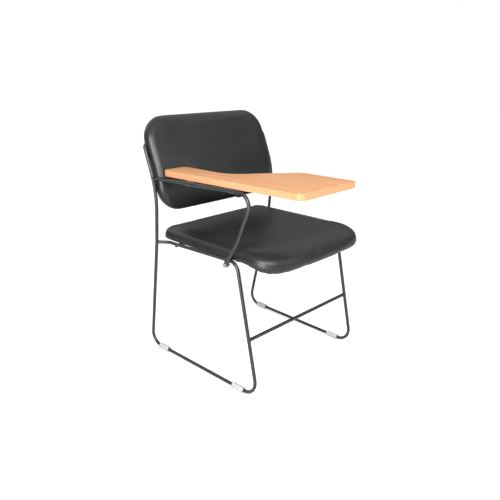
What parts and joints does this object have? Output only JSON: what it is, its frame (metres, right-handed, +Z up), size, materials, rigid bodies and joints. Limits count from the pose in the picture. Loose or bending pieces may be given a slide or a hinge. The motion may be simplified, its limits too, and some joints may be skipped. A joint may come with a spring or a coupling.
{
  "type": "tablet arm chair",
  "caption": "Stackable sled-base student chair of bent steel rod with padded seat and back and a wooden writing tablet that flips up over the right arm.",
  "frame": {"origin": "on the floor, under the centre of the whole chair's bounding box", "axes": "+Z up, the sitter faces -Y, +X is the sitter's left, so the tablet is at -X"},
  "size_m": [0.5444, 0.653, 0.8019],
  "materials": {
    "black_rod": "semi-gloss dark powder coat",
    "leatherette": "fine grained glossy leatherette",
    "plywood": "raw birch plywood",
    "particle_board": "raw particle board",
    "wood_laminate": "satin beech laminate",
    "wood_edge": "satin beech edge band",
    "glide_plastic": "milky nylon",
    "zinc": "zinc plated",
    "bumper_rubber": "matt black rubber"
  },
  "bodies": {
    "frame": {"right_side_frame": "black_rod", "left_side_frame": "black_rod", "front_stretcher": "black_rod", "seat_front_cross_rod": "black_rod", "seat_rear_cross_rod": "black_rod", "glide_front_right": "glide_plastic", "glide_front_left": "glide_plastic", "glide_rear_right": "glide_plastic", "glide_rear_left": "glide_plastic", "seat_cushion": "leatherette", "seat_board": "plywood", "seat_screw_plates": "black_rod", "seat_tee_nuts": "zinc", "seat_screws": "zinc", "back_cushion": "leatherette", "back_board": "plywood", "back_cover": "leatherette", "back_screw_plates": "black_rod", "back_tee_nuts": "zinc", "back_screws": "zinc", "arm_rod": "black_rod", "arm_lug": "black_rod", "arm_bolt": "zinc", "arm_washer": "zinc", "arm_nut": "zinc", "hinge_collars": "black_rod", "tablet_stop_bars": "black_rod", "tablet_bumpers": "bumper_rubber", "tablet_open_stop": "black_rod"},
    "tablet": {"tablet_board": "particle_board", "tablet_laminate": "wood_laminate", "tablet_edge_band": "wood_edge", "hinge_eye_front": "black_rod", "hinge_eye_rear": "black_rod", "hinge_screws": "zinc"}
  },
  "joints": [
    {"name": "tablet_flip", "type": "hinge", "parent": "frame", "child": "tablet", "pos_m": [-0.24806, 0.0755, 0.6197], "axis": [0.1043, -0.9945, 0], "range_deg": [0, 109.5]}
  ]
}
